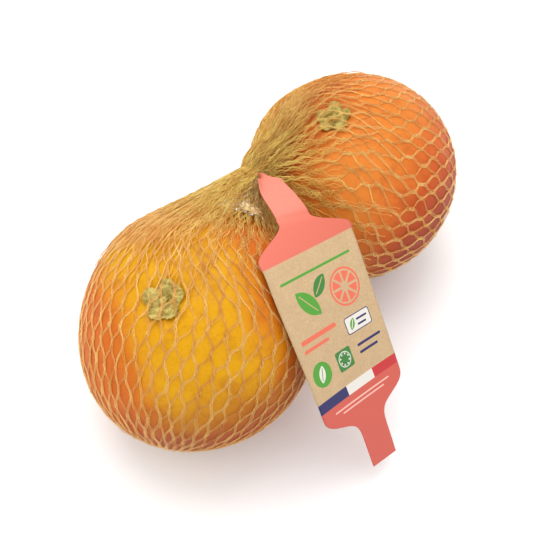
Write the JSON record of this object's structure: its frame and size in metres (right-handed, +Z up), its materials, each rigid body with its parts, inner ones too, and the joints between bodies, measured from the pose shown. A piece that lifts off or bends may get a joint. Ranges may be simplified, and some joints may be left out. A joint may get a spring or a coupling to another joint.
{
  "type": "netted pomelos",
  "caption": "Round citrus fruit in a gold knitted net sleeve gathered at a tie between the fruit, with a printed paper hang label held in the tie.",
  "frame": {"origin": "on the table, under the middle of the pack's plan outline", "axes": "+Z up, away from the table; +Y from the front, larger fruit towards the back one; +X to the right of that"},
  "size_m": [0.1703, 0.1861, 0.0967],
  "materials": {
    "rind_yellow": "satin",
    "rind_orange": "satin",
    "calyx": "matte",
    "net": "satin",
    "label_paper": "matte"
  },
  "bodies": {
    "root": {"pomelo_front": "rind_yellow", "pomelo_back": "rind_orange", "calyx_front": "calyx", "calyx_back": "calyx", "net_front": "net", "net_back": "net", "label": "label_paper"}
  },
  "joints": []
}
